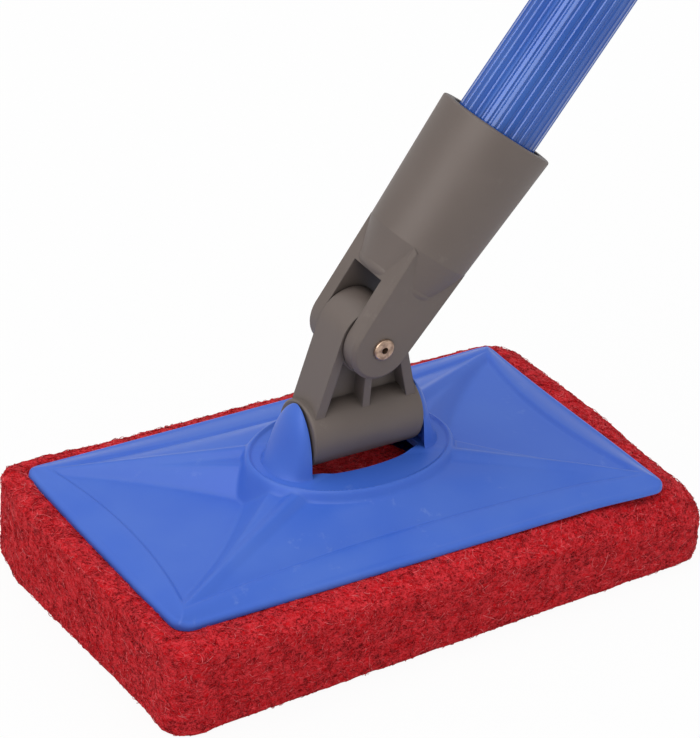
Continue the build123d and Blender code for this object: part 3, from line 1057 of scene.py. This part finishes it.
@dataclass
class MouldedPlate:
    """The blue plate, in millimetres: its pressed top, rolled edge, window and cheeks."""

    node: str = "base_plate"
    relief: PlateRelief = PlateRelief()
    cheek: CheekForm = CheekForm()
    bottom: float = 24.9
    corner: float = 5.0
    roll: float = 1.5
    roll_steps: int = 6
    cell: float = 0.42
    window: Oval = Oval(25.5, 11.1)
    window_gap: float = 0.002
    cavity_foot: Oval = Oval(33.0, 24.0)
    cavity_head: Oval = Oval(27.5, 18.5)
    cavity_height: float = 9.0
    bearing_radius: float = 3.45
    bearing_depth: float = 2.7
    bearing_sides: int = 48
    hem: float = 6.0
    crease: float = math.radians(38)
    warps: tuple[Pull, ...] = (
        Pull((80.0, -44.0), (0.0, -1.5), 2.0, 28.0),
        Pull((80.0, 35.0), (-1.3, 0.0), 10.0, 70.0),
        Pull((-80.0, -5.0), (-0.4, 0.0), 10.0, 45.0),
    )

    def _top(self, shape: BMesh) -> None:
        """Add the pressed top, without its rolled edge.

        Args:
            shape: the empty shape that it is added to.
        """
        half = np.array((self.relief.half_length, self.relief.half_width)) - self.roll
        columns, rows = (round(2 * reach / self.cell) for reach in half)
        bmesh.ops.create_grid(shape, x_segments=columns, y_segments=rows, size=1.0)
        bmesh.ops.scale(shape, vec=(*half, 1.0), verts=shape.verts)
        radius = self.corner - self.roll
        places = np.array([vertex.co[:2] for vertex in shape.verts])
        size, sign = np.abs(places), np.sign(places)
        over = np.clip(size - (half - radius), 0, None) / radius
        places = (size - over * radius + radius * over * np.sqrt(1 - 0.5 * over[:, ::-1] ** 2)) * sign
        moved = places.copy()
        for warp in self.warps:
            moved += warp.share(places[:, 0], places[:, 1])[:, None] * np.array(warp.move)
        heights = self.relief.height(places[:, 0], places[:, 1])
        for vertex, (x, y), z in zip(shape.verts, moved, heights):
            vertex.co = (x, y, z)

    def _edge(self, shape: BMesh) -> None:
        """Roll the top's edge over, and close the plate's underside.

        Args:
            shape: the pressed top.
        """
        core_x, core_y = self.relief.half_length - self.corner, self.relief.half_width - self.corner
        full = self.relief.border_top - self.bottom
        turns = [0.5 * math.pi * (step + 1) / self.roll_steps for step in range(self.roll_steps)]
        moves = [(self.roll * math.sin(turn), self.roll * (1 - math.cos(turn))) for turn in turns]
        moves += [(self.roll, full), (-self.hem, full)]
        rim = [edge for edge in shape.edges if edge.is_boundary]
        base = {}
        for vertex in {vertex for edge in rim for vertex in edge.verts}:
            x, y, _ = vertex.co
            inner = Vector((max(-core_x, min(core_x, x)), max(-core_y, min(core_y, y)), 0))
            base[vertex] = (vertex.co.copy(), Vector((x - inner.x, y - inner.y, 0)).normalized())
        for outward, down in moves:
            made = bmesh.ops.extrude_edge_only(shape, edges=rim)["geom"]
            rim = [item for item in made if isinstance(item, bmesh.types.BMEdge) and item.is_boundary]
            moved = {}
            for vertex in {vertex for edge in rim for vertex in edge.verts}:
                others = [edge.other_vert(vertex) for edge in vertex.link_edges]
                near = [other for other in others if other in base]
                place, out = base[min(near, key=lambda other: (other.co - vertex.co).length)]
                vertex.co = place + out * outward
                vertex.co.z += (self.bottom - place.z) * down / full
                moved[vertex] = (place, out)
            base = moved
        bmesh.ops.contextual_create(shape, geom=rim)

    def _cutters(self) -> tuple[BMesh, BMesh]:
        """Make what the plate is cut with.

        Returns:
            The mound that hollows the underside, and the window's block, its ends flush with the cheeks.
        """
        foot, head = self.cavity_foot, self.cavity_head
        below = Oval(2 * foot.half_x - head.half_x, 2 * foot.half_y - head.half_y)
        block = oval_block(self.window, self.window, self.bottom, self.cheek.axis_z - self.bottom)
        for sign in (-1, 1):
            cut_off(block, sign * (self.cheek.face_x - self.window_gap), sign)
        return oval_block(below, head, self.bottom, self.cavity_height), block

    def _rod(self) -> BMesh:
        """Make the rod that the cheeks' two bearings are cut with.

        Returns:
            The rod.
        """
        shape = bmesh.new()
        rod = {"segments": self.bearing_sides, "depth": 2 * (self.cheek.face_x + self.bearing_depth)}
        rod |= {"radius1": self.bearing_radius, "radius2": self.bearing_radius}
        place = Matrix.Translation((0, 0, self.cheek.axis_z)) @ Matrix.Rotation(math.radians(90), 4, "Y")
        bmesh.ops.create_cone(shape, cap_ends=True, matrix=place, **rod)
        return shape

    @staticmethod
    def _cut(shape: BMesh, *tools: BMesh) -> Mesh:
        """Cut closed shapes out of another, one after the other, and free them all.

        Args:
            shape: what is cut.
            *tools: what is cut away.

        Returns:
            The rest.
        """
        made = []
        for source in (shape, *tools):
            bmesh.ops.recalc_face_normals(source, faces=source.faces)
            made.append(new_object("plate_work", finished(source, "plate_work")))
        for tool in made[1:]:
            cut = made[0].modifiers.new("opening", "BOOLEAN")
            cut.operation = "DIFFERENCE"
            cut.solver = "EXACT"
            cut.object = tool
        rest = baked(made[0], "plate_rest")
        for tool in made[1:]:
            bpy.data.objects.remove(tool)
        return rest

    def build(self, material: Look) -> None:
        """Make the plate.

        Args:
            material: the blue plastic.
        """
        body = bmesh.new()
        self._top(body)
        self._edge(body)
        parts = [self._cut(body, *self._cutters())]
        parts += [self._cut(self.cheek.build(side), self._rod()) for side in (-1, 1)]
        mesh = joined(parts, "moulded_plate")
        mesh.transform(Matrix.Scale(MM, 4))
        mesh.polygons.foreach_set("use_smooth", [True] * len(mesh.polygons))
        mesh.set_sharp_from_angle(angle=self.crease)
        plate = new_object("moulded_plate", mesh, [material])
        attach(plate, "head")
        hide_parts(self.node)


@dataclass
class Head:
    """The scrubbing head: pad, plate and hook strips."""

    pad: FibrePad = field(default_factory=FibrePad)
    plate: MouldedPlate = field(default_factory=MouldedPlate)

    def build(self) -> None:
        """Make and dress the head's pieces."""
        # the first red is the painted shade of the fibre's recesses, the last its painted highlight
        reds = srgb(120, 2, 10), srgb(206, 14, 26), srgb(226, 58, 66), srgb(240, 112, 116)
        self.pad.build(FibreFinish("red_fibre", *reds).build())
        blues = srgb(60, 104, 205), srgb(84, 122, 208), srgb(140, 165, 220)
        # the last two entries set the blue plate's painted shade in its creases
        gloss = {"roughness": 0.42, "specular": 0.4, "deepest_shade": (0.72, 0.74, 0.8), "shade_reach": 4 * MM}
        self.plate.build(PlasticFinish("blue_plastic", *blues, **gloss).build())
        blacks = srgb(28, 28, 30), srgb(48, 48, 50), srgb(80, 80, 84)
        weave = {"roughness": 0.7, "grain_scale": 1200.0, "grain_depth": 0.3 * MM}
        hook = PlasticFinish("black_hook_strip", *blacks, **weave).build()
        for node in ("hook_strip_left", "hook_strip_right"):
            dress(node, hook)


# ---------------- joint and handle


@dataclass
class Joint:
    """The grey swivel yoke and the rivet through it."""

    def build(self, grey: Look) -> None:
        """Dress the yoke with the grey plastic and the rivet with its own finish."""
        dress("swivel_yoke", grey)
        dress("pivot_rivet", PlatedFinish("plated_rivet", srgb(196, 168, 146), srgb(120, 96, 84)).build())


@dataclass
class Handle:
    """The socket, the pole and what is on the pole's top."""

    lean: float = math.radians(35.8)
    tilt: float = math.radians(1.3)
    pivot: Triple = (0.0, -0.66247 * MM, 74.59248 * MM)

    def frame(self) -> Matrix:
        """Return the pole's own frame, with Z along the pole."""
        turn = Matrix.Rotation(self.tilt, 4, "X") @ Matrix.Rotation(self.lean, 4, "Y")
        return Matrix.Translation(self.pivot) @ turn

    def build(self, grey: Look) -> None:
        """Dress the handle's pieces.

        Args:
            grey: the grey plastic.
        """
        for node in ("handle_socket", "mouth_bush", "hang_cap"):
            dress(node, grey)
        coat = CoatedTubeFinish("blue_coated_tube", srgb(4, 76, 172), srgb(110, 155, 215), self.frame())
        dress("pole_tube", coat.build())
        blacks = srgb(34, 34, 36), srgb(48, 48, 50), srgb(90, 90, 94)
        dress("thread_tip", PlasticFinish("black_plastic", *blacks, roughness=0.5).build())
        darks = srgb(72, 70, 68), srgb(86, 84, 82), srgb(110, 108, 106)
        dress("hand_grip", PlasticFinish("grip_foam", *darks, roughness=0.8, grain_depth=0.1 * MM).build())


# ---------------- studio


@dataclass
class Studio:
    """Floor, light and camera."""

    camera_place: Triple = (-441.845, -635.106, 512.742)
    right: Triple = (0.84174612, -0.53574429, 0.06664485)
    up: Triple = (0.22265104, 0.45695036, 0.86117529)
    focal_pixels: float = 3226.84
    frame_height: int = 738
    sensor: float = 36.0
    clip: Pair = (0.05, 50.0)
    floor_half: float = 12.0
    floor_white: float = 0.93
    floor_tones: tuple[Colour, Colour] = ((0.86, 0.86, 0.86), (0.9, 0.9, 0.9))
    white: Colour = (1.0, 1.0, 1.0)
    ambient: float = 0.68
    horizon: float = 0.72
    dome_range: Pair = (0.05, 0.5)
    mirrored: float = 0.40
    softbox: float = 4.0
    softbox_range: Pair = (0.92, 0.985)
    softbox_way: Triple = (-0.81, -0.30, 0.58)
    key: float = 1.15
    key_angle: float = math.radians(60)
    key_turn: Triple = (math.radians(16), 0, math.radians(-86))

    def camera(self) -> None:
        """Make the camera."""
        lens = bpy.data.cameras.new("camera")
        lens.sensor_fit = "VERTICAL"
        lens.sensor_height = self.sensor
        lens.lens = self.focal_pixels * self.sensor / self.frame_height
        lens.clip_start, lens.clip_end = self.clip
        made = new_object("camera", lens)
        right, up = Vector(self.right), Vector(self.up)
        turn = Matrix((right, up, right.cross(up))).transposed()
        made.matrix_world = Matrix.Translation(Vector(self.camera_place) * MM) @ turn.to_4x4()
        bpy.context.scene.camera = made

    def floor(self) -> None:
        """Make the pale floor, white to the camera but for a soft shadow."""
        shape = bmesh.new()
        bmesh.ops.create_grid(shape, x_segments=1, y_segments=1, size=self.floor_half)
        mesh = finished(shape, "floor")
        material = bpy.data.materials.new("floor_white")
        tree = cleared_tree(material)
        place = tree.add("TexCoord").outputs["Object"]
        matte = tree.add("BsdfDiffuse", {"Color": tree.blend(tree.noise(place, 3.0), *self.floor_tones)})
        glow = tree.add("Emission", {"Color": self.white, "Strength": 1.0})
        seen = tree.add("LightPath").outputs["Is Camera Ray"]
        share = tree.math("MULTIPLY", seen, self.floor_white)
        mixed = tree.add("MixShader", {0: share, 1: matte.outputs[0], 2: glow.outputs[0]})
        tree.add("OutputMaterial", {0: mixed.outputs[0]})
        new_object("floor", mesh, [material])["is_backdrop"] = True

    def light(self) -> None:
        """Light the object evenly from all round, with a softbox to mirror and a soft key from above."""
        world = bpy.data.worlds.new("studio")
        bpy.context.scene.world = world
        tree = cleared_tree(world)
        path = tree.add("LightPath").outputs
        way = tree.add("TexCoord").outputs["Generated"]
        up = tree.add("SeparateXYZ", {0: way}).outputs[2]
        dome = tree.stretch(up, self.horizon, 1.0, self.dome_range)
        lit = tree.math("MULTIPLY", dome, self.ambient)
        facing = tree.vector("DOT_PRODUCT", way, self.softbox_way).outputs["Value"]
        box = tree.stretch(facing, self.mirrored, self.softbox, self.softbox_range)
        mirrored = tree.math("MULTIPLY", path["Is Glossy Ray"], tree.math("MULTIPLY", dome, box))
        strength = tree.math("MAXIMUM", tree.math("MAXIMUM", lit, mirrored), path["Is Camera Ray"])
        glow = tree.add("Background", {"Color": self.white, "Strength": strength})
        tree.add("OutputWorld", {0: glow.outputs[0]})
        lamp = bpy.data.lights.new("key", "SUN")
        lamp.energy = self.key
        lamp.angle = self.key_angle
        new_object("key", lamp).rotation_euler = Euler(self.key_turn)

    def build(self) -> None:
        """Set the stage."""
        self.camera()
        self.floor()
        self.light()
        bpy.context.scene.view_settings.view_transform = "Standard"


def main() -> None:
    """Dress every piece of the brush and set the studio."""
    logging.basicConfig(level=logging.INFO, format="%(name)s: %(message)s")
    Studio().build()
    greys = srgb(104, 93, 87), srgb(116, 105, 99), srgb(150, 140, 134)
    wear = {"cloud_scale": 60.0, "scuff_share": 0.15, "soften": 0.6 * MM}
    # the grey plastic keeps the default painted shade in its creases and recesses
    grey = PlasticFinish("grey_plastic", *greys, roughness=0.55, **wear).build()
    Head().build()
    Joint().build(grey)
    Handle().build(grey)
    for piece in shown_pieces():
        LOG.info("piece %s", piece.name)


if __name__ == "__main__":
    main()
